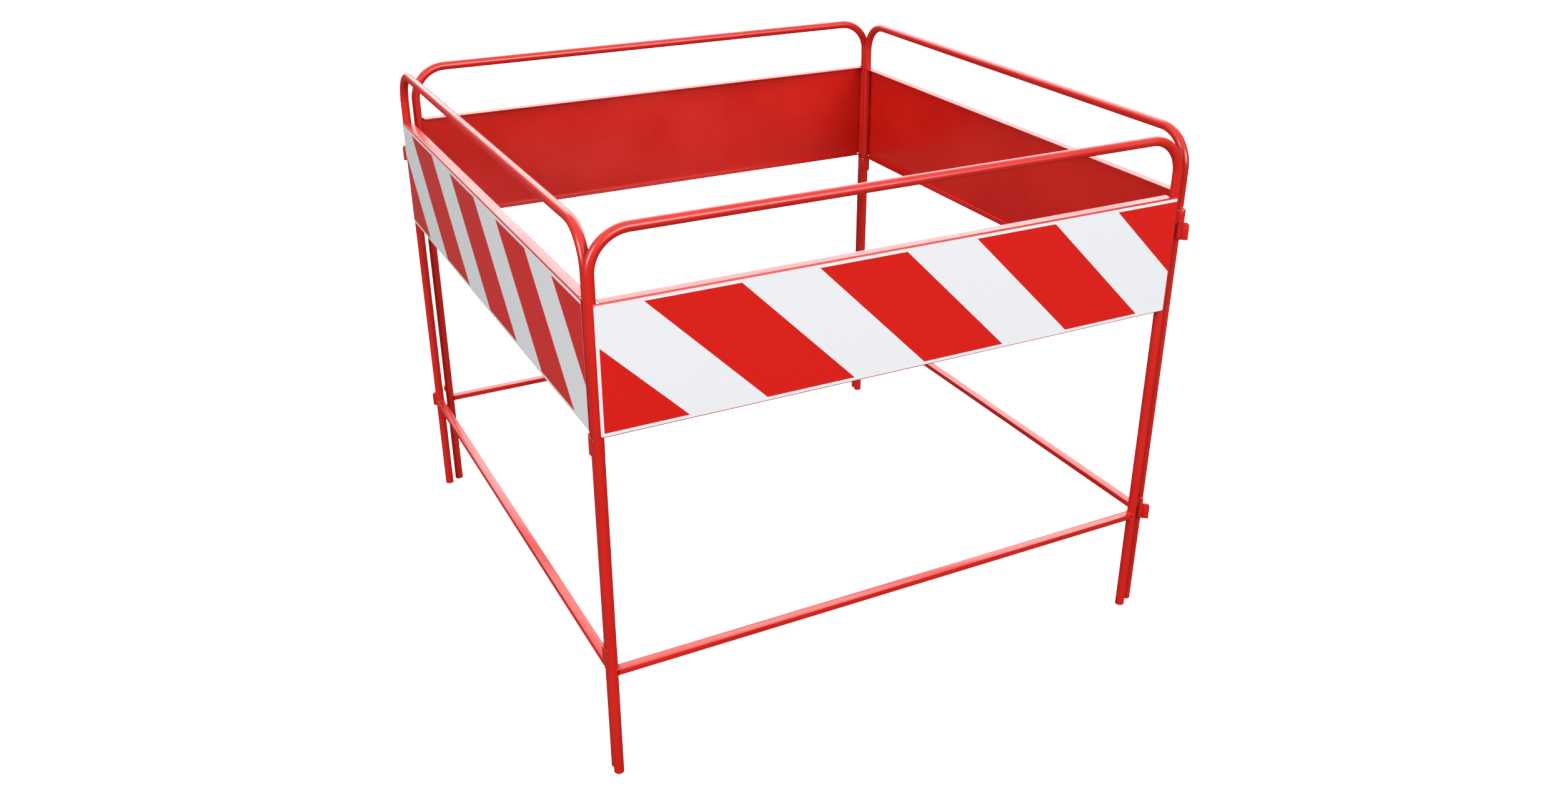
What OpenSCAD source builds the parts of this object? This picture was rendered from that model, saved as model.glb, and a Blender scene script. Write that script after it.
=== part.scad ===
// Folding work-area guard: four bent-tube frames round an open square.
// Each frame is a hoop with a flat bottom bar and a folded sheet panel that
// carries striped reflective film on its outside. Frames meet at two strap
// hinges, on one diagonal, and at two eye-and-pin hooks, on the other.
// A frame's own axes: X from its left leg to its right leg as seen from
// outside the guard, -Y outwards, Z up, origin under the left leg.
// The guard stands on Z = 0 with its centre at the origin. Millimetres.

/* [Frame] */
// Distance between the axes of a frame's two legs
leg_spacing = 1000; // [800:10:1500]
// Height of the top rail's centre line above the ground
hoop_h = 892; // [700:1:1200]
// Centre-line radius of the hoop's two bends
bend_r = 60; // [40:1:90]
// Outside diameter of the hoop tube
tube_d = 16; // [13:0.1:22]
// Wall of the hoop tube
tube_wall = 1.5; // [1:0.1:2]

/* [Bottom bar] */
// Height of the bar's middle above the ground
bar_z = 193.5; // [120:0.5:300]
// Width of the flat bar, measured across the frame
bar_w = 15; // [10:0.1:15]
// Thickness of the flat bar
bar_t = 10; // [3:0.1:12]

/* [Panel] */
// Height of the panel
panel_h = 200; // [160:1:260]
// Drop from the top rail's centre line to the panel's top edge
panel_drop = 97; // [75:1:130]
// Thickness of the panel sheet
sheet_t = 1.5; // [0.8:0.1:1.7]
// Inside radius of the panel's folds
fold_r = 0.8; // [0.5:0.1:1]
// Clearance between a leg and the end of a panel flange
flange_gap = 3; // [1:0.5:10]

/* [Film] */
// Thickness of the white reflective film
film_t = 0.3; // [0.2:0.05:0.6]
// Thickness of the red overlay film
stripe_t = 0.15; // [0.1:0.05:0.4]
// Bare sheet left above and below the film
film_edge = 2.5; // [2.3:0.1:10]
// Bare sheet left at the ends of the film
film_end = 1; // [0.5:0.5:10]
// White border kept above, below and left of the red stripes
film_border = 5; // [2:1:15]
// White border kept at the right end of the red stripes
film_border_right = 0; // [0:0.5:15]
// Width of a red stripe, square to its edges
red_band = 103; // [60:1:150]
// Width of the white between two stripes, square to its edges
white_band = 87; // [60:1:150]
// Slope of the stripes, falling from left to right
stripe_slope = 45; // [35:1:60]
// Distance along the top edge from the panel's left end to the first stripe
stripe_start = 65; // [20:1:150]

/* [Strap hinge] */
// Gap between the two tubes that a strap holds together
hinge_gap = 0.6; // [0.4:0.1:2]
// Sideways offset of the strapped leg from the leg that carries the strap
hinge_offset = 2; // [0:0.5:4]
// Thickness of the strap
strap_t = 3; // [2:0.1:5]
// Height of each strap
strap_h = 30; // [15:1:50]
// Angle by which each arm of a strap turns in towards the leg that carries it
strap_turn_in = 10; // [6:0.5:14]
// Distance from the axis of the carrying leg at which the arms end
strap_end = 2; // [1:0.5:3]
// Vertical gap between a strap and the panel or the bottom bar
strap_gap = 4; // [2:1:20]

/* [Hook] */
// Diameter of the hook pins
pin_d = 8; // [6:0.1:12]
// Wall of the eyes round the pins
eye_wall = 3.4; // [2:0.1:5]
// Gap between the leg that carries an eye and the eye's outside
eye_standoff = 1.2; // [0.5:0.1:4]
// Direction of the eye from its leg, in degrees below the frame's line
eye_angle = 8.5; // [0:0.5:20]
// Height of the upper eyes
eye_h_upper = 24; // [10:0.5:30]
// Height of the lower eyes
eye_h_lower = 12; // [10:0.5:20]
// Height of the upper hook plates
plate_h_upper = 30; // [20:1:40]
// Height of the lower hook plates
plate_h_lower = 30; // [14:1:40]
// Length of a hook plate beyond its pin
plate_reach = 17; // [10:1:25]
// Length of a hook plate behind its pin
plate_tail = 5.5; // [5:0.5:7]
// Cut-off at the top outer corner of a hook plate
plate_chamfer = 4; // [1:0.5:8]
// Drop from the panel's top edge to the top of the upper hook plates
hook_drop = 49; // [35:1:80]
// Height of the top of the lower hook plates above the bottom bar's middle
hook_rise = 17; // [0:1:40]
// Distance along a hook plate from its leg to its pin
pin_along = 3.5; // [2:0.5:6]

/* [Fits] */
// Radial running clearance of a leg in its strap and of a pin in its eye
run_clear = 0.08; // [0.03:0.01:0.1]
// Radial clearance in the straps of the back frame, which close the linkage
loop_clear = 0.3; // [0.2:0.05:0.5]
// Depth to which a welded piece is fitted round a tube or a pin
weld_fit = 0.5; // [0.3:0.1:0.8]
// Gap between an eye and the hook plate under it
hook_gap = 1; // [0.5:0.5:3]
// Gap between an eye and the leg that its pin is fixed to, square to the plate
leg_gap = 0.5; // [0.4:0.1:2]

/* [Hidden] */
$fn = 64;
paint = "#c0281f";
white_film = "#e8eaec";
red_film = "#dc2018";

tube_r = tube_d / 2;
leg_h = hoop_h - bend_r;
pin_r = pin_d / 2;
eye_r = pin_r + run_clear + eye_wall;

// Panel, in a frame's own axes
seat_y = -(tube_r - weld_fit);
face_y = seat_y - sheet_t;
fold_out = fold_r + sheet_t;
panel_top = hoop_h - panel_drop;
panel_bottom = panel_top - panel_h;

// Strap hinge: the strapped leg, seen from the leg that carries the strap
hinge_dist = tube_d + hinge_gap;
hinge_vec = [hinge_offset, sqrt(pow(hinge_dist, 2) - pow(hinge_offset, 2))];
strap_upper_z = panel_bottom - strap_gap - strap_h;
strap_lower_z = bar_z + bar_t / 2 + strap_gap;

// Hook: the eye seen from its leg, and the pin seen from its own leg
eye_dist = tube_r + eye_standoff + eye_r;
eye_vec = eye_dist * [cos(eye_angle), -sin(eye_angle)];
plate_angle = -130;
pin_off = tube_r + leg_gap + eye_r;
plate_t = pin_off - pin_r + weld_fit + seat_y;
pin_vec = turned([pin_along, -pin_off], plate_angle);
hook_upper_z = panel_top - hook_drop;
hook_lower_z = bar_z + hook_rise;
pin_start = 6;
pin_tip = 2;
pin_chamfer = 1;

// The right frame's left leg, seen from the front frame's left leg
right_leg = [leg_spacing, 0] + eye_vec - turned(pin_vec, 90);
// The left frame's left leg, seen from the same place
left_leg = hinge_vec + [0, leg_spacing];
centre = (right_leg + left_leg) / 2;

function turned(v, angle) =
    [v.x * cos(angle) - v.y * sin(angle), v.x * sin(angle) + v.y * cos(angle)];

// ---- Places of the four frames ----

module front_place() translate([-centre.x, -centre.y, 0]) children();

module left_place() {
    translate([left_leg.x - centre.x, left_leg.y - centre.y, 0])
        rotate(-90) children();
}

module back_place() rotate(180) front_place() children();

module right_place() rotate(180) left_place() children();

// ---- Shared shapes ----

// Solid rods along both legs of a frame
module leg_rods(z_low, z_high) {
    for (x = [0, leg_spacing])
        translate([x, 0, z_low]) cylinder(r = tube_r, h = z_high - z_low);
}

// The hoop's bent rod at radius r, with its feet made longer by foot
module bent_rod(r, foot) {
    for (x = [0, leg_spacing])
        translate([x, 0, -foot]) cylinder(r = r, h = leg_h + foot);
    translate([bend_r, 0, leg_h]) rotate([90, 0, 0]) rotate(90)
        rotate_extrude(angle = 90) translate([bend_r, 0]) circle(r);
    translate([leg_spacing - bend_r, 0, leg_h]) rotate([90, 0, 0])
        rotate_extrude(angle = 90) translate([bend_r, 0]) circle(r);
    translate([bend_r, 0, hoop_h]) rotate([0, 90, 0])
        cylinder(r = r, h = leg_spacing - 2 * bend_r);
}

// Section of the folded panel: X is the frame's Y, Y is height from the bottom
module tray_section() {
    translate([face_y, fold_out]) square([sheet_t, panel_h - 2 * fold_out]);
    for (side = [0, 1])
        translate([0, side * panel_h]) mirror([0, side]) {
            translate([face_y + fold_out, fold_out]) intersection() {
                difference() {
                    circle(fold_out);
                    circle(fold_r);
                }
                translate([-fold_out, -fold_out]) square(fold_out);
            }
            translate([face_y + fold_out, 0])
                square([tube_r - face_y - fold_out, sheet_t]);
        }
}

// ---- Pieces, in a frame's own axes ----

// Bent tube: two legs and the top rail, open at the feet
module hoop() color(paint) difference() {
    bent_rod(tube_r, 0);
    bent_rod(tube_r - tube_wall, 1);
}

// Flat bar welded between the legs
module bottom_bar() color(paint) difference() {
    translate([-seat_y, -bar_w / 2, bar_z - bar_t / 2])
        cube([leg_spacing + 2 * seat_y, bar_w, bar_t]);
    leg_rods(bar_z - bar_t, bar_z + bar_t);
}

// Folded sheet welded to the outside of the legs, its flanges between them
module panel() color(paint) difference() {
    translate([0, 0, panel_bottom]) rotate([90, 0, 90])
        linear_extrude(leg_spacing) tray_section();
    leg_rods(panel_bottom - 1, panel_top + 1);
    for (x = [-1, leg_spacing - tube_r - flange_gap])
        translate([x, seat_y, panel_bottom - 1])
            cube([tube_r + flange_gap + 1, 2 * tube_d, panel_h + 2]);
}

// White reflective film on the face of the panel
module film() color(white_film)
    translate([film_end, face_y - film_t, panel_bottom + film_edge])
        cube([leg_spacing - 2 * film_end, film_t, panel_h - 2 * film_edge]);

// Red stripes laid over the film
module red_stripes() color(red_film) {
    run = panel_h / tan(stripe_slope);
    width = red_band / sin(stripe_slope);
    pitch = (red_band + white_band) / sin(stripe_slope);
    border = [film_end + film_border, panel_bottom + film_edge + film_border];
    right_end = leg_spacing - film_end - film_border_right;
    first = -ceil((stripe_start + run) / pitch);
    last = ceil((leg_spacing - stripe_start) / pitch);
    translate([0, face_y - film_t, 0]) rotate([90, 0, 0])
        linear_extrude(stripe_t) intersection() {
            translate(border)
                square([right_end - border.x, panel_h - 2 * (film_edge + film_border)]);
            for (i = [first : last])
                translate([stripe_start + i * pitch, 0])
                    polygon([[0, panel_top], [width, panel_top],
                             [width + run, panel_bottom], [run, panel_bottom]]);
        }
}

// Outline between the two arms' sides that touch a circle of radius r round the
// strapped leg, from x_end to that circle
module between_arms(r, x_end) {
    touch = [hinge_dist - r * sin(strap_turn_in), r * cos(strap_turn_in)];
    end = [x_end, touch.y - (touch.x - x_end) * tan(strap_turn_in)];
    polygon([end, touch, [touch.x, -touch.y], [x_end, -end.y]]);
}

// Bent strap wrapped round the next frame's leg and welded by its arms to the
// left leg, with its bore opened to the radial clearance clear
module hinge_strap(z, clear) color(paint)
    translate([0, 0, z]) rotate(atan2(hinge_vec.y, hinge_vec.x)) difference() {
        inner_r = tube_r + run_clear;
        outer_r = inner_r + strap_t;
        union() {
            translate([hinge_dist, 0, 0]) cylinder(r = outer_r, h = strap_h);
            linear_extrude(strap_h) between_arms(outer_r, strap_end);
        }
        translate([0, 0, -1]) cylinder(r = tube_r, h = strap_h + 2);
        translate([hinge_dist, 0, -1]) cylinder(r = tube_r + clear, h = strap_h + 2);
        translate([0, 0, -1]) linear_extrude(strap_h + 2) between_arms(inner_r, strap_end - 1);
    }

// Eye welded to the right leg through a short web
module eye(z, h) color(paint)
    translate([leg_spacing, 0, z]) rotate(-eye_angle) difference() {
        web_w = eye_r - eye_standoff;
        union() {
            translate([eye_dist, 0, 0]) cylinder(r = eye_r, h = h);
            translate([0, -web_w / 2, 0]) cube([eye_dist, web_w, h]);
        }
        translate([0, 0, -1]) cylinder(r = tube_r, h = h + 2);
        translate([eye_dist, 0, -1]) cylinder(r = pin_r + run_clear, h = h + 2);
    }

// Flat plate on the left leg, standing on edge, with the pin on its face
module hook_plate(z_top, h) color(paint)
    translate([0, 0, z_top - h]) rotate(plate_angle) difference() {
        start = pin_along - plate_tail;
        end = pin_along + plate_reach;
        translate([0, seat_y, 0]) rotate([90, 0, 0]) linear_extrude(plate_t)
            polygon([[start, 0], [end, 0], [end, h - plate_chamfer],
                     [end - plate_chamfer, h], [start, h]]);
        translate([0, 0, -1]) cylinder(r = tube_r, h = h + 2);
        translate([pin_along, -pin_off, pin_start]) cylinder(r = pin_r, h = h);
    }

// Round pin welded into the plate's face, with a chamfered tip
module hook_pin(z_top, plate_h, eye_h) color(paint)
    translate([pin_vec.x, pin_vec.y, z_top - plate_h + pin_start]) {
        straight = plate_h - pin_start + hook_gap + eye_h + pin_tip - pin_chamfer;
        cylinder(r = pin_r, h = straight);
        translate([0, 0, straight])
            cylinder(r1 = pin_r, r2 = pin_r - pin_chamfer, h = pin_chamfer);
    }

// ---- Front frame ----
front_place() hoop();  // front_hoop
front_place() bottom_bar();  // front_bottom_bar
front_place() panel();  // front_panel
front_place() film();  // front_film
front_place() red_stripes();  // front_red_stripes
front_place() hinge_strap(strap_upper_z, run_clear);  // front_strap_upper
front_place() hinge_strap(strap_lower_z, run_clear);  // front_strap_lower
front_place() eye(hook_upper_z + hook_gap, eye_h_upper);  // front_eye_upper
front_place() eye(hook_lower_z + hook_gap, eye_h_lower);  // front_eye_lower

// ---- Left frame ----
left_place() hoop();  // left_hoop
left_place() bottom_bar();  // left_bottom_bar
left_place() panel();  // left_panel
left_place() film();  // left_film
left_place() red_stripes();  // left_red_stripes
left_place() hook_plate(hook_upper_z, plate_h_upper);  // left_plate_upper
left_place() hook_plate(hook_lower_z, plate_h_lower);  // left_plate_lower
left_place() hook_pin(hook_upper_z, plate_h_upper, eye_h_upper);  // left_pin_upper
left_place() hook_pin(hook_lower_z, plate_h_lower, eye_h_lower);  // left_pin_lower

// ---- Back frame ----
back_place() hoop();  // back_hoop
back_place() bottom_bar();  // back_bottom_bar
back_place() panel();  // back_panel
back_place() film();  // back_film
back_place() red_stripes();  // back_red_stripes
back_place() hinge_strap(strap_upper_z, loop_clear);  // back_strap_upper
back_place() hinge_strap(strap_lower_z, loop_clear);  // back_strap_lower
back_place() eye(hook_upper_z + hook_gap, eye_h_upper);  // back_eye_upper
back_place() eye(hook_lower_z + hook_gap, eye_h_lower);  // back_eye_lower

// ---- Right frame ----
right_place() hoop();  // right_hoop
right_place() bottom_bar();  // right_bottom_bar
right_place() panel();  // right_panel
right_place() film();  // right_film
right_place() red_stripes();  // right_red_stripes
right_place() hook_plate(hook_upper_z, plate_h_upper);  // right_plate_upper
right_place() hook_plate(hook_lower_z, plate_h_lower);  // right_plate_lower
right_place() hook_pin(hook_upper_z, plate_h_upper, eye_h_upper);  // right_pin_upper
right_place() hook_pin(hook_lower_z, plate_h_lower, eye_h_lower);  // right_pin_lower
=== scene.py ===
"""Folding work-area guard: finished steelwork, film, welds, paint, light and camera.

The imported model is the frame. Every piece here is modelled once in a frame's own axes, which run
from the left leg (the origin) to the right leg along X, outwards along -Y and up along Z. It is
then copied to each frame that has one, and takes the place of the plain solid there.
"""

import logging
import math
from dataclasses import dataclass, field
from enum import Enum
from typing import Callable, Iterable, Optional, Sequence

import bmesh
import bpy
from mathutils import Matrix, Vector

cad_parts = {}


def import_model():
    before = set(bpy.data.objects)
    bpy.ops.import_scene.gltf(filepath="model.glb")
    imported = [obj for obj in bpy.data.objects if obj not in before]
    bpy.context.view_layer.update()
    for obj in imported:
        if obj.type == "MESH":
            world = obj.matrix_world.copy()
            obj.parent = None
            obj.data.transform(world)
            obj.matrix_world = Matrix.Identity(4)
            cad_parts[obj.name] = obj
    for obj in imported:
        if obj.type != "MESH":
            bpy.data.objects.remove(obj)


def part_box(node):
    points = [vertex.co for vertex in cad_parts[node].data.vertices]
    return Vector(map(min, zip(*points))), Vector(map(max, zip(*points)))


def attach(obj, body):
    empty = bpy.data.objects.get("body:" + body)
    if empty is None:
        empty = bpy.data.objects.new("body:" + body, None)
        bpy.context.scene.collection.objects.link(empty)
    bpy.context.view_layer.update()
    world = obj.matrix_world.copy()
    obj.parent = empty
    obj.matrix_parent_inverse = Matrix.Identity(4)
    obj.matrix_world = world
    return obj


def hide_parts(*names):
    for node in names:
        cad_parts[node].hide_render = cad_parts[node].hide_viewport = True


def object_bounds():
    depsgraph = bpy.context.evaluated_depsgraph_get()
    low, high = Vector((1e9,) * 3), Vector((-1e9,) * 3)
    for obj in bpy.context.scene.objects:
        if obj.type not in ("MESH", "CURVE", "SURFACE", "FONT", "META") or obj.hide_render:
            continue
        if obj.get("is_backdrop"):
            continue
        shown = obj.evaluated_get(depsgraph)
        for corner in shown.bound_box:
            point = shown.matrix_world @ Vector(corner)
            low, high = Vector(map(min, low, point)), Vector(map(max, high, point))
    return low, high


LOG = logging.getLogger("guard")
MM = 0.001
# How near two places have to be to count as the same
SAME_PLACE = 0.01 * MM


class Side(Enum):
    """The four frames, each with its turn about Z in degrees."""

    FRONT = 0.0
    LEFT = -90.0
    BACK = 180.0
    RIGHT = 90.0

    @property
    def word(self) -> str:
        """The side's name as the nodes spell it."""
        return self.name.lower()

    @property
    def body(self) -> str:
        """The moving body that this frame is."""
        return f"{self.word}_frame"


STRAP_SIDES = (Side.FRONT, Side.BACK)
HOOK_SIDES = (Side.LEFT, Side.RIGHT)


class Level(Enum):
    """Which of the two straps, eyes, plates or pins of a leg is meant."""

    UPPER = "upper"
    LOWER = "lower"


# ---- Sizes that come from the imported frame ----


@dataclass(frozen=True)
class Guard:
    """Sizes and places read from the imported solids, in metres."""

    tube_r: float
    leg_spacing: float
    hoop_h: float

    @classmethod
    def measured(cls) -> "Guard":
        """Reads the front hoop's box.

        Returns:
            The guard's driving sizes.
        """
        low, high = box_of("front_hoop")
        radius = (high.y - low.y) / 2
        return cls(
            tube_r=radius,
            leg_spacing=high.x - low.x - 2 * radius,
            hoop_h=high.z - radius,
        )

    def place(self, side: Side) -> Matrix:
        """Gives the place of one frame.

        Args:
            side: The frame.

        Returns:
            The matrix from the frame's own axes to the guard's.
        """
        low, high = box_of(f"{side.word}_hoop")
        r = self.tube_r
        x = {Side.BACK: high.x - r}.get(side, low.x + r)
        y = {Side.LEFT: high.y - r, Side.BACK: high.y - r}.get(side, low.y + r)
        return Matrix.Translation((x, y, 0.0)) @ Matrix.Rotation(math.radians(side.value), 4, "Z")


def box_of(node: str) -> tuple[Vector, Vector]:
    """Gives a node's box.

    Args:
        node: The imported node's name.

    Returns:
        Its lowest and highest corners.
    """
    low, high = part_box(node)
    return Vector(low), Vector(high)


def local_box(guard: Guard, side: Side, piece: str) -> tuple[Vector, Vector]:
    """Gives the box of one frame's piece in that frame's own axes.

    Args:
        guard: The guard's sizes.
        side: The frame.
        piece: The piece's name without its side.

    Returns:
        The lowest and highest corners in the frame's own axes.
    """
    back = guard.place(side).inverted()
    a, b = (back @ corner for corner in box_of(f"{side.word}_{piece}"))
    low = Vector(min(p, q) for p, q in zip(a, b))
    high = Vector(max(p, q) for p, q in zip(a, b))
    return low, high


# ---- Bench tools: picking, editing and finishing a mesh ----


def deselect() -> None:
    """Leaves edit mode and deselects every object."""
    if bpy.context.object and bpy.context.object.mode != "OBJECT":
        bpy.ops.object.mode_set(mode="OBJECT")
    bpy.ops.object.select_all(action="DESELECT")


def only(piece: bpy.types.Object) -> None:
    """Makes one object the selected and active one."""
    deselect()
    piece.select_set(True)
    bpy.context.view_layer.objects.active = piece


def edit(piece: bpy.types.Object) -> None:
    """Opens one object in edit mode."""
    only(piece)
    bpy.ops.object.mode_set(mode="EDIT")


def pick(piece: bpy.types.Object, kind: str, wanted: Callable[[Vector, Vector], bool]) -> int:
    """Selects the edges or faces of the object in edit mode that pass a test.

    Args:
        piece: The object being edited.
        kind: EDGE or FACE.
        wanted: Takes an element's centre and its normal, or its direction for an edge.

    Returns:
        How many elements were selected.
    """
    bpy.ops.mesh.select_mode(type=kind)
    bpy.ops.mesh.select_all(action="DESELECT")
    mesh = bmesh.from_edit_mesh(piece.data)
    count = 0
    if kind == "EDGE":
        for edge in mesh.edges:
            a, b = (v.co for v in edge.verts)
            if wanted((a + b) / 2, (b - a).normalized()):
                edge.select_set(True)
                count += 1
    else:
        for face in mesh.faces:
            if wanted(face.calc_center_median(), face.normal):
                face.select_set(True)
                count += 1
    bmesh.update_edit_mesh(piece.data)
    return count


def extrude(offset: Sequence[float]) -> None:
    """Extrudes what is selected by an offset."""
    bpy.ops.mesh.extrude_region_move(TRANSFORM_OT_translate={"value": tuple(offset)})


def apply_modifier(piece: bpy.types.Object, kind: str, **settings: object) -> None:
    """Adds a modifier with its settings and applies it.

    Args:
        piece: The object.
        kind: The modifier's type.
        settings: The modifier's values by name.
    """
    only(piece)
    bpy.ops.object.modifier_add(type=kind)
    modifier = piece.modifiers[-1]
    for name, value in settings.items():
        setattr(modifier, name, value)
    bpy.ops.object.modifier_apply(modifier=modifier.name)


def turn_outwards(piece: bpy.types.Object) -> None:
    """Merges doubles and points every face outwards."""
    edit(piece)
    bpy.ops.mesh.select_all(action="SELECT")
    bpy.ops.mesh.remove_doubles(threshold=SAME_PLACE)
    bpy.ops.mesh.normals_make_consistent(inside=False)
    deselect()


def ease_edges(piece: bpy.types.Object, width: float, segments: int = 2) -> None:
    """Rounds the hard edges of a piece by a small width."""
    apply_modifier(
        piece, "BEVEL", width=width, segments=segments, limit_method="ANGLE", angle_limit=math.radians(40)
    )


def smooth(piece: bpy.types.Object, degrees: float = 40.0) -> None:
    """Shades a piece smooth, with hard edges above an angle."""
    only(piece)
    bpy.ops.object.shade_smooth_by_angle(angle=math.radians(degrees))


def join(parts: Sequence[bpy.types.Object], name: str) -> bpy.types.Object:
    """Joins objects into the first one.

    Args:
        parts: The objects, at least one.
        name: The joined object's name.

    Returns:
        The joined object.
    """
    deselect()
    for part in parts:
        part.select_set(True)
    bpy.context.view_layer.objects.active = parts[0]
    if len(parts) > 1:
        bpy.ops.object.join()
    parts[0].name = name
    return parts[0]


def block(low: Sequence[float], high: Sequence[float]) -> bpy.types.Object:
    """Adds a box between two corners, with its size in its mesh.

    Args:
        low: The lowest corner.
        high: The highest corner.

    Returns:
        The new object.
    """
    deselect()
    middle = [(a + b) / 2 for a, b in zip(low, high)]
    size = [b - a for a, b in zip(low, high)]
    bpy.ops.mesh.primitive_cube_add(size=1.0, location=middle, scale=size)
    bpy.ops.object.transform_apply(location=True, rotation=True, scale=True)
    return bpy.context.object


def swing(piece: bpy.types.Object, degrees: float) -> None:
    """Turns a piece about the Z axis through the origin and applies the turn."""
    only(piece)
    piece.rotation_euler = (0.0, 0.0, math.radians(degrees))
    bpy.ops.object.transform_apply(location=True, rotation=True, scale=True)


def copy_to(
    model: bpy.types.Object, guard: Guard, side: Side, name: str, nodes: Iterable[str] = ()
) -> bpy.types.Object:
    """Args:
        model: The piece in a frame's own axes.
        guard: The guard's sizes.
        side: The frame that the copy belongs to.
        name: The copy's name.
        nodes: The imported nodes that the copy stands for.

    Returns:
        The placed copy.
    """
    only(model)
    bpy.ops.object.duplicate(linked=False)
    piece = bpy.context.object
    piece.name = name
    piece.data.name = name
    piece.matrix_world = guard.place(side)
    bpy.ops.object.transform_apply(location=True, rotation=True, scale=True)
    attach(piece, side.body)
    if nodes:
        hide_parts(*nodes)
    LOG.info("%s: %d faces on %s", name, len(piece.data.polygons), side.body)
    return piece


def discard(*models: bpy.types.Object) -> None:
    """Removes the bench models once their copies are placed."""
    deselect()
    for model in models:
        model.select_set(True)
    bpy.ops.object.delete()


# ---- Finishes ----


def linear(code: str) -> tuple[float, float, float, float]:
    """Turns an sRGB hex colour into linear values.

    Args:
        code: A colour such as "#c0281f".

    Returns:
        Linear red, green and blue, and an alpha of 1.
    """
    parts = [int(code[i : i + 2], 16) / 255 for i in (1, 3, 5)]
    flat = [c / 12.92 if c <= 0.04045 else ((c + 0.055) / 1.055) ** 2.4 for c in parts]
    return (flat[0], flat[1], flat[2], 1.0)


def add_node(
    tree: bpy.types.NodeTree,
    kind: str,
    links: Optional[dict[str, bpy.types.NodeSocket]] = None,
    sockets: Optional[dict[str, object]] = None,
    **settings: object,
) -> bpy.types.Node:
    """Adds a node with its settings, socket values and incoming links.

    Args:
        tree: The material's node tree.
        kind: The node's type name.
        links: Output sockets to link, by the new node's input name.
        sockets: Values for the new node's inputs, by name.
        settings: The node's own properties.

    Returns:
        The new node.
    """
    node = tree.nodes.new(kind)
    for name, value in settings.items():
        setattr(node, name, value)
    for name, value in (sockets or {}).items():
        node.inputs[name].default_value = value
    for name, source in (links or {}).items():
        tree.links.new(source, node.inputs[name])
    return node


def set_ramp(node: bpy.types.Node, low: str, high: str, start: float = 0.3, end: float = 0.7) -> None:
    """Sets the two stops of a colour ramp from hex colours."""
    stops = node.color_ramp.elements
    stops[0].position, stops[0].color = start, linear(low)
    stops[1].position, stops[1].color = end, linear(high)


@dataclass(frozen=True)
class StovedEnamel:
    """Gloss alkyd enamel, sprayed and stoved on welded mild steel.

    It gives the eye a deep even red under a wide soft shine, with the faint
    dimples that a sprayed coat keeps (orange peel) and slightly uneven gloss.
    """

    deep: str = "#bb160c"
    fresh: str = "#c51b10"
    roughness: tuple[float, float] = (0.25, 0.34)
    ior: float = 1.52
    shine: float = 0.6
    peel_width: float = 2.2 * MM
    peel_depth: float = 0.02 * MM
    drift_width: float = 140 * MM
    drift_range: tuple[float, float] = (0.3, 0.7)

    def material(self) -> bpy.types.Material:
        """Builds the enamel as a material.

        Returns:
            The material.
        """
        made = bpy.data.materials.new("stoved_enamel_red")
        made.use_nodes = True
        tree = made.node_tree
        shader = tree.nodes["Principled BSDF"]
        place = add_node(tree, "ShaderNodeTexCoord").outputs["Object"]
        drift = add_node(
            tree, "ShaderNodeTexNoise", {"Vector": place}, {"Scale": 1 / self.drift_width, "Detail": 3.0}
        )
        colour = add_node(tree, "ShaderNodeValToRGB", {"Fac": drift.outputs["Fac"]})
        set_ramp(colour, self.deep, self.fresh)
        gloss = add_node(
            tree,
            "ShaderNodeMapRange",
            {"Value": drift.outputs["Fac"]},
            {
                "From Min": self.drift_range[0],
                "From Max": self.drift_range[1],
                "To Min": self.roughness[0],
                "To Max": self.roughness[1],
            },
        )
        peel = add_node(
            tree, "ShaderNodeTexNoise", {"Vector": place}, {"Scale": 1 / self.peel_width, "Detail": 1.0}
        )
        bump = add_node(
            tree,
            "ShaderNodeBump",
            {"Height": peel.outputs["Fac"]},
            {"Strength": 1.0, "Distance": self.peel_depth},
        )
        tree.links.new(colour.outputs["Color"], shader.inputs["Base Color"])
        tree.links.new(gloss.outputs["Result"], shader.inputs["Roughness"])
        tree.links.new(bump.outputs["Normal"], shader.inputs["Normal"])
        shader.inputs["IOR"].default_value = self.ior
        shader.inputs["Specular IOR Level"].default_value = self.shine
        return made


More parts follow.
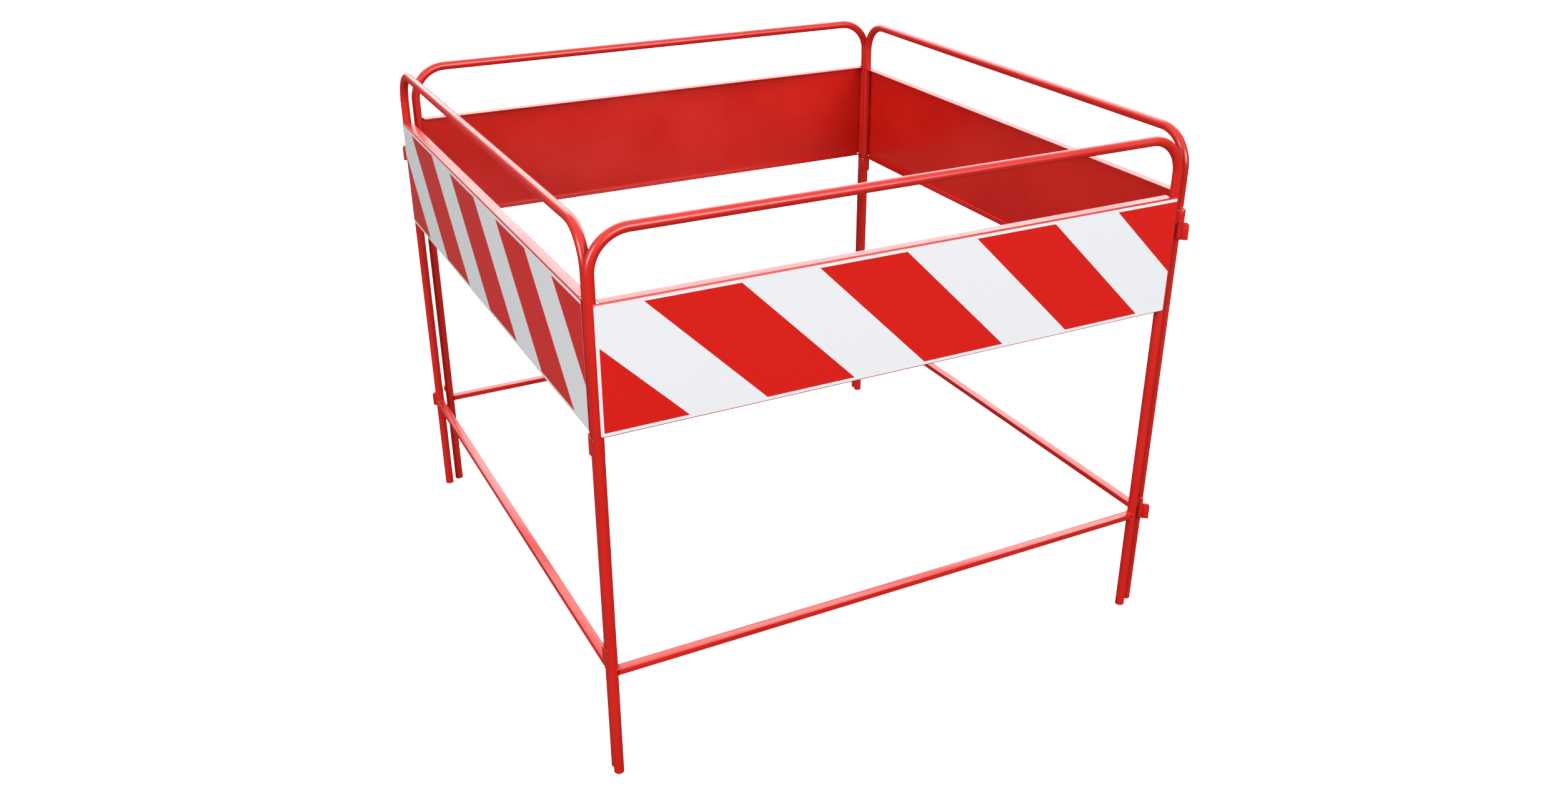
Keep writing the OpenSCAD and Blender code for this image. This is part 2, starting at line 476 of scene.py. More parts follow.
@dataclass(frozen=True)
class BeadedSheeting:
    """Retroreflective sheeting: glass beads under a clear acrylic face.

    It gives the eye a flat colour with a very fine sparkle-like grain, a clear
    shine that grows at a low angle, and long soft waves where the sheet steel
    behind it isn't quite flat.
    """

    name: str
    dull: str
    bright: str
    # Beads are about 0.06 mm, too fine to show, so the grain is drawn at 0.9 mm
    bead_width: float = 0.9 * MM
    bead_depth: float = 0.004 * MM
    wave_width: float = 130 * MM
    wave_depth: float = 0.35 * MM
    roughness: float = 0.45
    bead_shine: float = 0.08
    face_weight: float = 0.75
    face_roughness: float = 0.09
    face_ior: float = 1.49

    def material(self) -> bpy.types.Material:
        """Builds the sheeting as a material.

        Returns:
            The material.
        """
        made = bpy.data.materials.new(self.name)
        made.use_nodes = True
        tree = made.node_tree
        shader = tree.nodes["Principled BSDF"]
        place = add_node(tree, "ShaderNodeTexCoord").outputs["Object"]
        beads = add_node(
            tree, "ShaderNodeTexNoise", {"Vector": place}, {"Scale": 1 / self.bead_width, "Detail": 2.0}
        )
        colour = add_node(tree, "ShaderNodeValToRGB", {"Fac": beads.outputs["Fac"]})
        set_ramp(colour, self.dull, self.bright)
        waves = add_node(
            tree, "ShaderNodeTexNoise", {"Vector": place}, {"Scale": 1 / self.wave_width, "Detail": 1.0}
        )
        long_bump = add_node(
            tree,
            "ShaderNodeBump",
            {"Height": waves.outputs["Fac"]},
            {"Strength": 1.0, "Distance": self.wave_depth},
        )
        bump = add_node(
            tree,
            "ShaderNodeBump",
            {"Height": beads.outputs["Fac"], "Normal": long_bump.outputs["Normal"]},
            {"Strength": 1.0, "Distance": self.bead_depth},
        )
        tree.links.new(colour.outputs["Color"], shader.inputs["Base Color"])
        tree.links.new(bump.outputs["Normal"], shader.inputs["Normal"])
        tree.links.new(long_bump.outputs["Normal"], shader.inputs["Coat Normal"])
        shader.inputs["Roughness"].default_value = self.roughness
        shader.inputs["Specular IOR Level"].default_value = self.bead_shine
        shader.inputs["Coat Weight"].default_value = self.face_weight
        shader.inputs["Coat Roughness"].default_value = self.face_roughness
        shader.inputs["Coat IOR"].default_value = self.face_ior
        return made


@dataclass(frozen=True)
class Paints:
    """The guard's three finishes as made materials."""

    enamel: bpy.types.Material
    white_film: bpy.types.Material
    red_film: bpy.types.Material

    @classmethod
    def mixed(cls) -> "Paints":
        """Makes the three finishes.

        Returns:
            The materials.
        """
        return cls(
            enamel=StovedEnamel().material(),
            white_film=BeadedSheeting("beaded_sheeting_white", "#d8d9dc", "#e0e1e4").material(),
            red_film=BeadedSheeting("beaded_sheeting_red", "#c6150e", "#ce1911").material(),
        )


def dress(piece: bpy.types.Object, finish: bpy.types.Material) -> None:
    """Gives a piece one finish all over."""
    piece.data.materials.clear()
    piece.data.materials.append(finish)


# ---- Weld beads ----

# Size of the grid that a bead's drops are melted together on
WELD_GRAIN = 0.45 * MM
# How much each drop swells, and how fast the swell runs along a bead
WELD_SWELL = 0.07
WELD_BEAT = 2.3


@dataclass(frozen=True)
class Bead:
    """One weld bead: a row of overlapping drops along a path of points."""

    path: tuple[Vector, ...]
    width: float = 3.6 * MM
    overlap_pitch: float = 0.32

    def drops(self) -> list[Vector]:
        """Spaces the drops evenly along the path.

        Returns:
            The drops' centres.
        """
        pitch = self.width * self.overlap_pitch
        made = []
        for a, b in zip(self.path, self.path[1:]):
            count = max(1, round((b - a).length / pitch))
            made += [a.lerp(b, i / count) for i in range(count)]
        return made + [self.path[-1]]


def lay_beads(beads: Sequence[Bead], name: str) -> bpy.types.Object:
    """Models weld beads as one rippled skin each.

    Args:
        beads: The beads to lay.
        name: The object's name.

    Returns:
        An object that holds all the beads.
    """
    deselect()
    first = beads[0]
    bpy.ops.mesh.primitive_ico_sphere_add(subdivisions=2, radius=first.width / 2, location=first.path[0])
    bpy.ops.object.transform_apply(location=True, rotation=True, scale=True)
    weld = bpy.context.object
    edit(weld)
    for bead in beads:
        for i, drop in enumerate(bead.drops()):
            swell = 1.0 + WELD_SWELL * math.sin(WELD_BEAT * i)
            bpy.ops.mesh.primitive_ico_sphere_add(subdivisions=2, radius=bead.width / 2 * swell, location=drop)
    deselect()
    apply_modifier(weld, "REMESH", mode="VOXEL", voxel_size=WELD_GRAIN, use_smooth_shade=True)
    apply_modifier(weld, "SMOOTH", factor=0.5, iterations=2)
    smooth(weld, 80)
    weld.name = name
    return weld


def arc(centre: Vector, radius: float, start: float, end: float, steps: int = 6) -> tuple[Vector, ...]:
    """Gives points along a level arc.

    Args:
        centre: The arc's centre.
        radius: Its radius.
        start: The first angle in degrees from +X.
        end: The last angle in degrees.
        steps: How many chords it has.

    Returns:
        The points in order.
    """
    angles = (math.radians(start + (end - start) * i / steps) for i in range(steps + 1))
    return tuple(centre + radius * Vector((math.cos(a), math.sin(a), 0.0)) for a in angles)


# ---- What every frame has ----


@dataclass
class TubeFrame:
    """A bent hoop with its bottom bar, and the welds that join them."""

    guard: Guard
    finish: bpy.types.Material
    tube_wall: float = 1.5 * MM
    bend_r: float = 60 * MM
    tube_sides: int = 48
    bend_steps: int = 18
    bar_edge: float = 0.7 * MM
    foot_edge: float = 0.25 * MM
    bead: float = 3.0 * MM
    bead_span: float = 58.0
    bead_lift: float = 0.2 * MM
    bead_stand: float = 0.5 * MM

    def hoop(self) -> bpy.types.Object:
        """Bends one tube from foot to foot.

        Returns:
            The hoop in a frame's own axes.
        """
        g = self.guard
        leg = g.hoop_h - self.bend_r
        deselect()
        bpy.ops.mesh.primitive_circle_add(vertices=self.tube_sides, radius=g.tube_r)
        tube = bpy.context.object
        edit(tube)
        bpy.ops.mesh.select_all(action="SELECT")
        extrude((0, 0, leg))
        quarter = {"steps": self.bend_steps, "angle": -math.pi / 2, "axis": (0, 1, 0)}
        bpy.ops.mesh.spin(center=(self.bend_r, 0, leg), **quarter)
        extrude((g.leg_spacing - 2 * self.bend_r, 0, 0))
        bpy.ops.mesh.spin(center=(g.leg_spacing - self.bend_r, 0, leg), **quarter)
        extrude((0, 0, -leg))
        turn_outwards(tube)
        apply_modifier(tube, "SOLIDIFY", thickness=self.tube_wall, offset=-1.0)
        ease_edges(tube, self.foot_edge, 1)
        smooth(tube)
        tube.name = "hoop"
        return tube

    def bar(self, low: Vector, high: Vector) -> bpy.types.Object:
        """Cuts the flat bar, with the soft edges of rolled stock.

        Args:
            low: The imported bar's lowest corner in a frame's own axes.
            high: Its highest corner.

        Returns:
            The bar in a frame's own axes.
        """
        flat = block(low, high)
        ease_edges(flat, self.bar_edge, 3)
        smooth(flat)
        flat.name = "bottom_bar"
        return flat

    def welds(self, low: Vector, high: Vector) -> bpy.types.Object:
        """Lays the beads above and below the bar at both legs.

        Args:
            low: The bar's lowest corner.
            high: The bar's highest corner.

        Returns:
            The beads in a frame's own axes.
        """
        g = self.guard
        beads = []
        for x, facing in ((0.0, 0.0), (g.leg_spacing, 180.0)):
            for z in (low.z - self.bead_lift, high.z + self.bead_lift):
                turns = (facing - self.bead_span, facing + self.bead_span)
                run = arc(Vector((x, 0.0, z)), g.tube_r + self.bead_stand, *turns)
                beads.append(Bead(run, self.bead))
        return lay_beads(beads, "bar_welds")

    def build(self) -> None:
        """Models the steelwork once and places it on all four frames."""
        low, high = local_box(self.guard, Side.FRONT, "bottom_bar")
        models = {
            "hoop": self.hoop(),
            "bottom_bar": self.bar(low, high),
            "bar_welds": self.welds(low, high),
        }
        for part, model in models.items():
            dress(model, self.finish)
            for side in Side:
                nodes = () if part == "bar_welds" else (f"{side.word}_{part}",)
                copy_to(model, self.guard, side, f"{side.word}_steel_{part}", nodes)
        discard(*models.values())


@dataclass
class StripedPanel:
    """A folded sheet tray with white film and red stripes on its face."""

    guard: Guard
    paints: Paints
    sheet_t: float = 1.5 * MM
    fold_r: float = 0.8 * MM
    leg_fit: float = 0.5 * MM
    flange_gap: float = 3.0 * MM
    film_corner: float = 2.5 * MM
    red_band: float = 103 * MM
    white_band: float = 87 * MM
    slope: float = 45.0
    stripe_start: float = 65 * MM
    sheet_edge: float = 0.2 * MM
    stitch: float = 18 * MM
    stitch_bead: float = 2.8 * MM
    stitch_side: float = 3.6 * MM
    stitch_stand: float = 0.6 * MM
    stitch_shares: tuple[float, ...] = (0.14, 0.5, 0.86)

    def tray(self, low: Vector, high: Vector) -> bpy.types.Object:
        """Folds the sheet: a face, and a flange turned inwards at top and bottom.

        Args:
            low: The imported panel's lowest corner in a frame's own axes.
            high: Its highest corner.

        Returns:
            The tray in a frame's own axes.
        """
        face_y = low.y
        deselect()
        bpy.ops.mesh.primitive_plane_add(
            size=1.0,
            location=((low.x + high.x) / 2, face_y, (low.z + high.z) / 2),
            rotation=(math.pi / 2, 0, 0),
        )
        sheet = bpy.context.object
        sheet.scale = (high.x - low.x, high.z - low.z, 1.0)
        bpy.ops.object.transform_apply(location=True, rotation=True, scale=True)
        edit(sheet)
        for z in (low.z, high.z):
            pick(sheet, "EDGE", lambda c, d, z=z: abs(c.z - z) < SAME_PLACE and abs(c.y - face_y) < SAME_PLACE)
            extrude((0, high.y - face_y, 0))
        outer = self.fold_r + self.sheet_t
        pick(sheet, "EDGE", lambda c, d: abs(d.x) > 0.9 and abs(c.y - face_y) < SAME_PLACE)
        bpy.ops.mesh.bevel(offset=outer, segments=6, affect="EDGES")
        bpy.ops.mesh.select_all(action="SELECT")
        bpy.ops.mesh.normals_make_consistent(inside=False)
        deselect()
        if self.faces_inwards(sheet, face_y):
            edit(sheet)
            bpy.ops.mesh.select_all(action="SELECT")
            bpy.ops.mesh.flip_normals()
            deselect()
        apply_modifier(sheet, "SOLIDIFY", thickness=self.sheet_t, offset=-1.0, use_even_offset=True)
        self.notch(sheet, low, high)
        ease_edges(sheet, self.sheet_edge, 1)
        smooth(sheet)
        sheet.name = "panel"
        return sheet

    @staticmethod
    def faces_inwards(sheet: bpy.types.Object, face_y: float) -> bool:
        """Tells whether the tray's face points the wrong way."""
        face = min(sheet.data.polygons, key=lambda p: (round(abs(p.center.y - face_y), 5), -p.area))
        return face.normal.y > 0

    def notch(self, sheet: bpy.types.Object, low: Vector, high: Vector) -> None:
        """Cuts the flanges back from both legs.

        Args:
            sheet: The folded tray.
            low: The tray's lowest corner.
            high: The tray's highest corner.
        """
        g = self.guard
        reach = g.tube_r + self.flange_gap
        behind = -(g.tube_r - self.leg_fit)
        for start in (-1 * MM, g.leg_spacing - reach):
            cutter = block(
                (start, behind, low.z - 1 * MM), (start + reach + 1 * MM, high.y + 1 * MM, high.z + 1 * MM)
            )
            apply_modifier(sheet, "BOOLEAN", operation="DIFFERENCE", object=cutter, solver="EXACT")
            discard(cutter)

    def film(self, low: Vector, high: Vector) -> bpy.types.Object:
        """Cuts the white film with rounded corners.

        Args:
            low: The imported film's lowest corner.
            high: Its highest corner.

        Returns:
            The film in a frame's own axes.
        """
        sheet = block(low, high)
        edit(sheet)
        pick(sheet, "EDGE", lambda c, d: abs(d.y) > 0.9)
        bpy.ops.mesh.bevel(offset=self.film_corner, segments=5, affect="EDGES")
        deselect()
        smooth(sheet, 30)
        sheet.name = "film"
        return sheet

    def stripes(self, low: Vector, high: Vector) -> bpy.types.Object:
        """Cuts the red overlay into slanting bands.

        Args:
            low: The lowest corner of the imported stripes.
            high: Their highest corner.

        Returns:
            The stripes in a frame's own axes.
        """
        deselect()
        bpy.ops.mesh.primitive_plane_add(
            size=1.0,
            location=((low.x + high.x) / 2, high.y, (low.z + high.z) / 2),
            rotation=(math.pi / 2, 0, 0),
        )
        overlay = bpy.context.object
        overlay.scale = (high.x - low.x, high.z - low.z, 1.0)
        bpy.ops.object.transform_apply(location=True, rotation=True, scale=True)
        top = local_box(self.guard, Side.FRONT, "panel")[1].z
        slope = math.radians(self.slope)
        across = Vector((math.sin(slope), 0.0, math.cos(slope)))
        start = Vector((self.stripe_start, high.y, top))
        period = self.red_band + self.white_band
        span = (Vector((high.x, 0, high.z)) - Vector((low.x, 0, low.z))).length
        turns = math.ceil(span / period) + 1
        edit(overlay)
        for i in range(-turns, turns + 1):
            for offset in (i * period, i * period + self.red_band):
                bpy.ops.mesh.select_mode(type="FACE")
                bpy.ops.mesh.select_all(action="SELECT")
                bpy.ops.mesh.bisect(plane_co=start + across * offset, plane_no=across)
        pick(overlay, "FACE", lambda c, n: (c - start).dot(across) % period > self.red_band)
        bpy.ops.mesh.delete(type="FACE")
        deselect()
        apply_modifier(overlay, "SOLIDIFY", thickness=high.y - low.y, offset=1.0)
        turn_outwards(overlay)
        overlay.name = "red_stripes"
        return overlay

    def stitches(self, low: Vector, high: Vector) -> bpy.types.Object:
        """Lays the short beads that hold the tray to the legs, on its back.

        Args:
            low: The tray's lowest corner.
            high: The tray's highest corner.

        Returns:
            The beads in a frame's own axes.
        """
        g = self.guard
        behind = -(g.tube_r - self.leg_fit)
        y = behind + self.stitch_stand
        beads = []
        for x in (self.stitch_side, g.leg_spacing - self.stitch_side):
            for share in self.stitch_shares:
                middle = low.z + (high.z - low.z) * share
                ends = (middle - self.stitch / 2, middle + self.stitch / 2)
                beads.append(Bead(tuple(Vector((x, y, z)) for z in ends), self.stitch_bead))
        return lay_beads(beads, "panel_welds")

    def build(self) -> None:
        """Models the panel once and places it on all four frames."""
        models = {
            "panel": (self.tray, self.paints.enamel, "red_paint"),
            "film": (self.film, self.paints.white_film, "white_film"),
            "red_stripes": (self.stripes, self.paints.red_film, "red_film"),
        }
        for part, (make, finish, slot) in models.items():
            model = make(*local_box(self.guard, Side.FRONT, part))
            dress(model, finish)
            for side in Side:
                name = f"{side.word}_striped_{part}" if part == "panel" else f"{side.word}_sheeting_{part}"
                copy_to(model, self.guard, side, name, (f"{side.word}_{part}",))
            discard(model)
        welds = self.stitches(*local_box(self.guard, Side.FRONT, "panel"))
        dress(welds, self.paints.enamel)
        for side in Side:
            copy_to(welds, self.guard, side, f"{side.word}_panel_welds")
        discard(welds)


# ---- Corner fittings ----


@dataclass
class StrapHinge:
    """Two bent straps on a left leg that hold the next frame's leg."""

    guard: Guard
    finish: bpy.types.Material
    strap_t: float = 3.0 * MM
    play: float = 0.2 * MM
    turn_in: float = 10.0
    arm_end: float = 2.4 * MM
    bend_steps: int = 24
    strap_edge: float = 0.5 * MM
    bead: float = 3.2 * MM
    bead_sink: float = 0.6 * MM
    bead_inset: float = 2.0 * MM

    def reach(self) -> Vector:
        """Gives the strapped leg's place, seen from the leg that carries the strap."""
        near = self.guard.place(Side.FRONT).inverted() @ self.guard.place(Side.LEFT)
        return near @ Vector((self.guard.leg_spacing, 0.0, 0.0))

    def strap(self, low_z: float, high_z: float) -> bpy.types.Object:
        """Bends one strap round the next leg and welds its ends on.

        Args:
            low_z: The strap's lower edge.
            high_z: The strap's upper edge.

        Returns:
            The strap in a frame's own axes.
        """
        reach = self.reach()
        span = reach.length
        inner = self.guard.tube_r + self.play
        turn = math.radians(self.turn_in)
        arm = (span - inner * math.sin(turn) - self.arm_end) / math.cos(turn)
        deselect()
        bpy.ops.mesh.primitive_plane_add(
            size=1.0, location=(span - arm / 2, -inner, (low_z + high_z) / 2), rotation=(math.pi / 2, 0, 0)
        )
        strap = bpy.context.object
        strap.scale = (arm, high_z - low_z, 1.0)
        bpy.ops.object.transform_apply(location=True, rotation=True, scale=True)
        edit(strap)
        pick(strap, "EDGE", lambda c, d: abs(c.x - span) < SAME_PLACE and abs(d.z) > 0.9)
        wrap = -math.pi - 2 * turn
        bpy.ops.mesh.spin(steps=self.bend_steps, angle=wrap, center=(span, 0, 0), axis=(0, 0, 1))
        extrude((-arm * math.cos(2 * turn), -arm * math.sin(2 * turn), 0))
        turn_outwards(strap)
        if strap.data.polygons[0].normal.y > 0:
            edit(strap)
            bpy.ops.mesh.select_all(action="SELECT")
            bpy.ops.mesh.flip_normals()
            deselect()
        only(strap)
        strap.matrix_world = (
            Matrix.Translation((span, 0, 0))
            @ Matrix.Rotation(-turn, 4, "Z")
            @ Matrix.Translation((-span, 0, 0))
        )
        bpy.ops.object.transform_apply(location=True, rotation=True, scale=True)
        apply_modifier(strap, "SOLIDIFY", thickness=self.strap_t, offset=1.0)
        ease_edges(strap, self.strap_edge)
        smooth(strap)
        edge = inner * math.cos(turn) - arm * math.sin(turn) + self.strap_t * 0.5
        x = self.arm_end - self.bead_sink
        ends = (low_z + self.bead_inset, high_z - self.bead_inset)
        beads = [Bead(tuple(Vector((x, y, z)) for z in ends), self.bead) for y in (-edge, edge)]
        weld = lay_beads(beads, "strap_weld")
        whole = join([strap, weld], "strap")
        swing(whole, math.degrees(math.atan2(reach.y, reach.x)))
        return whole

    def build(self) -> None:
        """Models both straps once and places them on the front and back frames."""
        for level in Level:
            low, high = box_of(f"front_strap_{level.value}")
            model = self.strap(low.z, high.z)
            dress(model, self.finish)
            for side in STRAP_SIDES:
                node = f"{side.word}_strap_{level.value}"
                copy_to(model, self.guard, side, f"{side.word}_{level.value}_hinge_strap", (node,))
            discard(model)


@dataclass
class PinHook:
    """Eyes on a right leg, and plates with pins on the next frame's left leg."""

    guard: Guard
    finish: bpy.types.Material
    pin_r: float = 4.0 * MM
    bore_play: float = 0.08 * MM
    eye_wall: float = 3.4 * MM
    web_w: float = 6.0 * MM
    plate_turn: float = -130.0
    plate_start: float = -2.0 * MM
    plate_reach: float = 20.5 * MM
    plate_chamfer: float = 4.0 * MM
    plate_fit: float = 0.5 * MM
    pin_along: float = 3.5 * MM
    leg_gap: float = 0.5 * MM
    eye_edge: float = 0.5 * MM
    eye_bead: float = 3.4 * MM
    eye_bead_inset: float = 1.4 * MM
    eye_bead_stand: float = 0.2 * MM
    web_sink: float = 1.0 * MM
    web_inset: float = 0.6 * MM
    plate_edge: float = 0.4 * MM
    bead: float = 2.6 * MM
    bead_inset: float = 1.6 * MM
    face_bead_along: float = 3.4 * MM
    face_bead_stand: float = 0.5 * MM
    end_bead_stand: float = 0.4 * MM
    end_bead_sink: float = 0.2 * MM
    pin_bead: float = 2.2 * MM
    pin_bead_inset: float = 1.2 * MM
    pin_bead_side: float = 2.6 * MM
    pin_bead_stand: float = 0.6 * MM
    pin_tip: float = 1.0 * MM

    @property
    def eye_r(self) -> float:
        """The eye's outside radius."""
        return self.pin_r + self.bore_play + self.eye_wall

    @property
    def pin_off(self) -> float:
        """The pin's distance from its leg, square to the plate."""
        return self.guard.tube_r + self.leg_gap + self.eye_r

    def pin_place(self) -> Vector:
        """Gives the pin's axis in its own frame's axes."""
        turn = Matrix.Rotation(math.radians(self.plate_turn), 3, "Z")
        return turn @ Vector((self.pin_along, -self.pin_off, 0.0))

    def eye_place(self) -> Vector:
        """Gives the eye's axis in the axes of the frame that carries it."""
        across = self.guard.place(Side.FRONT).inverted() @ self.guard.place(Side.RIGHT)
        return across @ self.pin_place()

    def eye(self, low_z: float, high_z: float) -> bpy.types.Object:
        """Cuts a short thick tube and welds it to the leg through its web.

        Args:
            low_z: The eye's lower end.
            high_z: The eye's upper end.

        Returns:
            The eye in a frame's own axes.
        """
        axis = self.eye_place()
        deselect()
        bpy.ops.mesh.primitive_circle_add(vertices=40, radius=self.eye_r, location=(axis.x, axis.y, low_z))
        bpy.ops.object.transform_apply(location=True, rotation=True, scale=True)
        ring = bpy.context.object
        edit(ring)
        bpy.ops.mesh.select_all(action="SELECT")
        extrude((0, 0, high_z - low_z))
        turn_outwards(ring)
        apply_modifier(ring, "SOLIDIFY", thickness=self.eye_wall, offset=-1.0)
        ease_edges(ring, self.eye_edge)
        smooth(ring)
        leg = Vector((self.guard.leg_spacing, 0.0, 0.0))
        towards = (axis - leg).normalized()
        gap_start = self.guard.tube_r - self.plate_fit
        gap_end = (axis - leg).length - self.eye_r + self.web_sink
        web = block(
            (gap_start, -self.web_w / 2, low_z + self.web_inset),
            (gap_end, self.web_w / 2, high_z - self.web_inset),
        )
        turn = Matrix.Translation(leg) @ Matrix.Rotation(math.atan2(towards.y, towards.x), 4, "Z")
        only(web)
        web.matrix_world = turn
        bpy.ops.object.transform_apply(location=True, rotation=True, scale=True)
        middle = (self.guard.tube_r + (axis - leg).length - self.eye_r) / 2
        side = self.web_w / 2 + self.eye_bead_stand
        ends = (low_z + self.eye_bead_inset, high_z - self.eye_bead_inset)
        beads = [
            Bead(tuple(turn @ Vector((middle, y, z)) for z in ends), self.eye_bead) for y in (-side, side)
        ]
        return join([ring, web, lay_beads(beads, "eye_weld")], "eye")

    def plate(self, low_z: float, high_z: float, pin_low: float) -> bpy.types.Object:
        """Cuts the plate, takes off its corner and welds it to the leg and the pin.

        Args:
            low_z: The plate's lower edge.
            high_z: The plate's upper edge.
            pin_low: The lower end of the pin.

        Returns:
            The plate in a frame's own axes.
        """
        inner = -(self.guard.tube_r - self.plate_fit)
        outer = -(self.pin_off - self.pin_r + self.plate_fit)
        plate = block((self.plate_start, outer, low_z), (self.plate_reach, inner, high_z))
        edit(plate)
        bpy.ops.mesh.select_all(action="SELECT")
        corner = (self.plate_reach - self.plate_chamfer / 2, 0, high_z - self.plate_chamfer / 2)
        bpy.ops.mesh.bisect(plane_co=corner, plane_no=(1, 0, 1), use_fill=True, clear_outer=True)
        deselect()
        ease_edges(plate, self.plate_edge)
        smooth(plate)
        ends = (low_z + self.bead_inset, high_z - self.bead_inset)
        pin_ends = (pin_low + self.pin_bead_inset, high_z - self.pin_bead_inset)
        pin_y = outer - self.pin_bead_stand
        runs = (
            (self.face_bead_along, inner + self.face_bead_stand, ends, self.bead),
            (self.plate_start - self.end_bead_stand, inner - self.end_bead_sink, ends, self.bead),
            (self.pin_along + self.pin_bead_side, pin_y, pin_ends, self.pin_bead),
            (self.pin_along - self.pin_bead_side, pin_y, pin_ends, self.pin_bead),
        )
        beads = [Bead(tuple(Vector((x, y, z)) for z in levels), width) for x, y, levels, width in runs]
        whole = join([plate, lay_beads(beads, "plate_weld")], "plate")
        swing(whole, self.plate_turn)
        return whole

    def pin(self, low_z: float, high_z: float) -> bpy.types.Object:
        """Turns the pin with a rounded tip.

        Args:
            low_z: The pin's lower end.
            high_z: The pin's tip.

        Returns:
            The pin in a frame's own axes.
        """
        axis = self.pin_place()
        deselect()
        bpy.ops.mesh.primitive_cylinder_add(
            vertices=32,
            radius=self.pin_r,
            depth=high_z - low_z,
            location=(axis.x, axis.y, (low_z + high_z) / 2),
        )
        bpy.ops.object.transform_apply(location=True, rotation=True, scale=True)
        pin = bpy.context.object
        edit(pin)
        pick(pin, "FACE", lambda c, n: n.z > 0.9)
        bpy.ops.mesh.bevel(offset=self.pin_tip, segments=4, affect="EDGES")
        deselect()
        smooth(pin)
        pin.name = "pin"
        return pin

    def build(self) -> None:
        """Models the eyes, plates and pins, and places two of each."""
        for level in Level:
            word = level.value
            eye_low, eye_high = box_of(f"front_eye_{word}")
            plate_low, plate_high = box_of(f"left_plate_{word}")
            pin_low, pin_high = box_of(f"left_pin_{word}")
            models = {
                "eye": (self.eye(eye_low.z, eye_high.z), STRAP_SIDES),
                "plate": (self.plate(plate_low.z, plate_high.z, pin_low.z), HOOK_SIDES),
                "pin": (self.pin(pin_low.z, pin_high.z), HOOK_SIDES),
            }
            for part, (model, sides) in models.items():
                dress(model, self.finish)
                for side in sides:
                    name = f"{side.word}_{word}_hook_{part}"
                    copy_to(model, self.guard, side, name, (f"{side.word}_{part}_{word}",))
                discard(model)


# ---- Studio ----


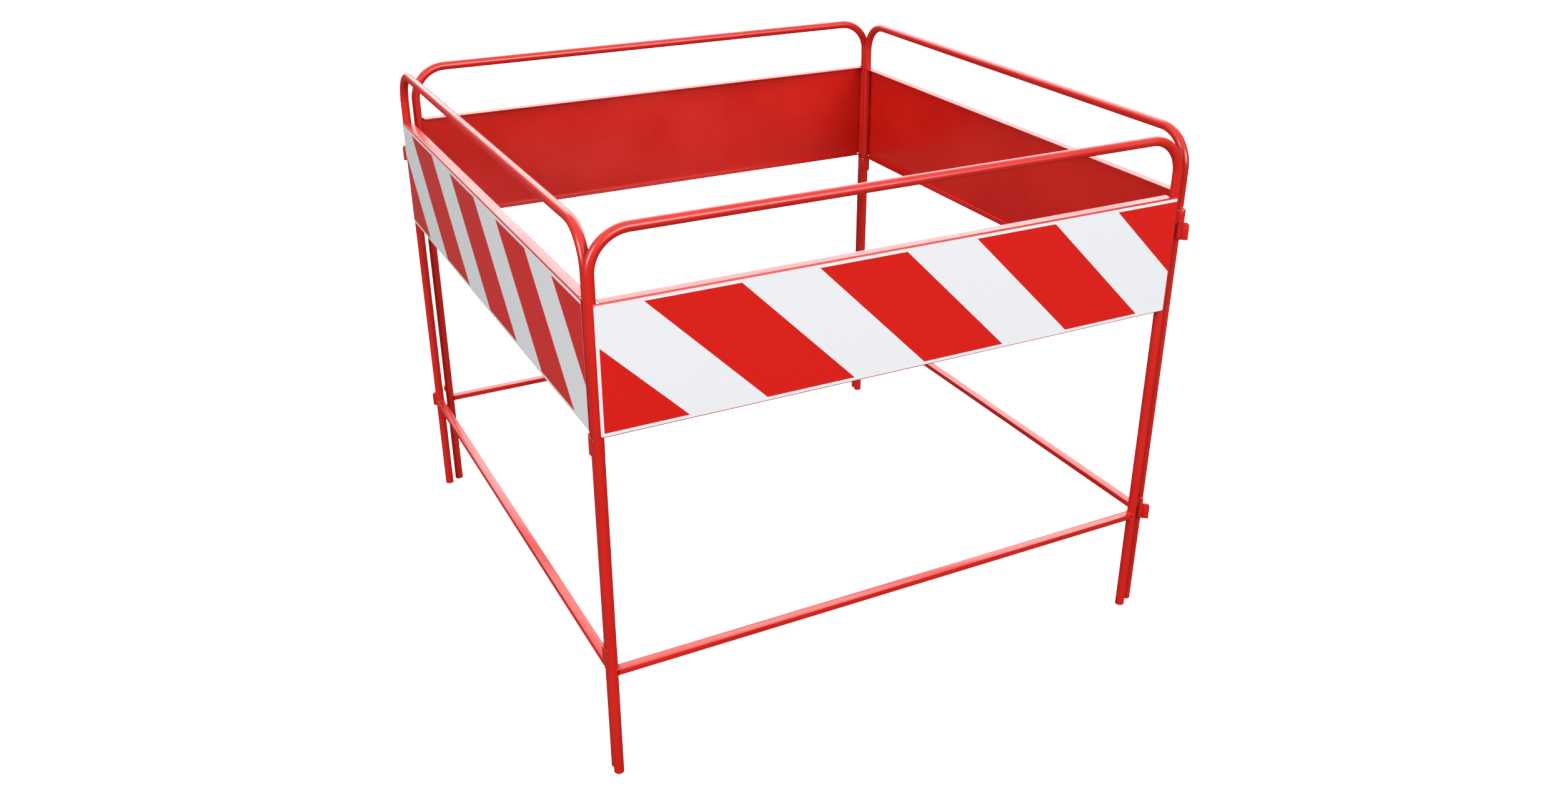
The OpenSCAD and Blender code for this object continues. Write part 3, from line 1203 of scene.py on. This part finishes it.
@dataclass
class Studio:
    """A pale floor, soft light and the camera."""

    eye: Vector = field(default_factory=lambda: Vector((-1.0500, -2.0918, 1.4768)))
    azimuth: float = 26.99
    elevation: float = 25.84
    lens: float = 31.08
    shift: tuple[float, float] = (0.0087, -0.0136)
    floor_lift: float = 0.3
    surround: float = 0.32

    def floor(self) -> None:
        """Lays a wide matt floor that lights the guard as grey paper and shows as white."""
        deselect()
        bpy.ops.mesh.primitive_plane_add(size=60.0, location=(0, 0, -0.0005))
        floor = bpy.context.object
        floor.name = "studio_floor"
        paper = bpy.data.materials.new("matt_paper_floor")
        paper.use_nodes = True
        tree = paper.node_tree
        shader = tree.nodes["Principled BSDF"]
        seen = add_node(tree, "ShaderNodeLightPath").outputs["Is Camera Ray"]
        shade = add_node(tree, "ShaderNodeMix", {"Factor": seen}, data_type="RGBA")
        shade.inputs["A"].default_value = linear("#4a4a4a")
        shade.inputs["B"].default_value = linear("#fafafa")
        tree.links.new(shade.outputs["Result"], shader.inputs["Base Color"])
        lift = add_node(tree, "ShaderNodeMath", {0: seen}, {1: self.floor_lift}, operation="MULTIPLY")
        tree.links.new(lift.outputs["Value"], shader.inputs["Emission Strength"])
        shader.inputs["Emission Color"].default_value = linear("#ffffff")
        shader.inputs["Roughness"].default_value = 0.9
        shader.inputs["Specular IOR Level"].default_value = 0.0
        dress(floor, paper)
        floor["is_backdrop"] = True

    def softbox(self, name: str, place: Vector, aim: Vector, size: tuple[float, float], power: float) -> None:
        """Hangs one rectangular softbox.

        Args:
            name: The light's name.
            place: Where it hangs.
            aim: The point that it faces.
            size: Its width and height.
            power: Its power in watts.
        """
        light = bpy.data.lights.new(name, "AREA")
        light.shape = "RECTANGLE"
        light.size, light.size_y = size
        light.energy = power
        lamp = bpy.data.objects.new(name, light)
        bpy.context.scene.collection.objects.link(lamp)
        lamp.location = place
        lamp.rotation_euler = (aim - place).to_track_quat("-Z", "Y").to_euler()

    def lights(self) -> None:
        """Sets the white surround and the softboxes."""
        world = bpy.data.worlds.new("white_surround")
        bpy.context.scene.world = world
        world.use_nodes = True
        surround = world.node_tree.nodes["Background"]
        surround.inputs["Color"].default_value = linear("#ffffff")
        surround.inputs["Strength"].default_value = self.surround
        aim = Vector((0.0, 0.0, 0.5))
        self.softbox("ceiling_softbox", Vector((0.0, 0.0, 6.0)), aim, (14.0, 14.0), 440.0)
        self.softbox("rear_softbox", Vector((3.0, 5.4, 4.6)), aim, (12.0, 5.5), 820.0)
        self.softbox("front_softbox", Vector((2.0, -9.0, 3.8)), aim, (6.0, 4.0), 730.0)
        self.softbox("left_softbox", Vector((-9.0, -3.0, 3.6)), aim, (5.0, 4.0), 720.0)

    def camera(self) -> None:
        """Sets the camera at the viewer's place, with plain sRGB tones."""
        bpy.context.scene.view_settings.view_transform = "Standard"
        data = bpy.data.cameras.new("viewer")
        data.lens = self.lens
        data.sensor_width = 36.0
        data.shift_x, data.shift_y = self.shift
        viewer = bpy.data.objects.new("viewer", data)
        bpy.context.scene.collection.objects.link(viewer)
        viewer.location = self.eye
        viewer.rotation_euler = (math.radians(90 - self.elevation), 0.0, math.radians(-self.azimuth))
        bpy.context.scene.camera = viewer

    def build(self) -> None:
        """Builds the studio."""
        self.floor()
        self.lights()
        self.camera()


def main(cad_box: Sequence[Sequence[float]]) -> None:
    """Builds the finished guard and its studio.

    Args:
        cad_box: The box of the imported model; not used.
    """
    guard = Guard.measured()
    paints = Paints.mixed()
    TubeFrame(guard, paints.enamel).build()
    StripedPanel(guard, paints).build()
    StrapHinge(guard, paints.enamel).build()
    PinHook(guard, paints.enamel).build()
    Studio().build()


if __name__ == "__main__":
    logging.basicConfig(level=logging.INFO, format="%(name)s: %(message)s")
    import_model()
    main(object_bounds())
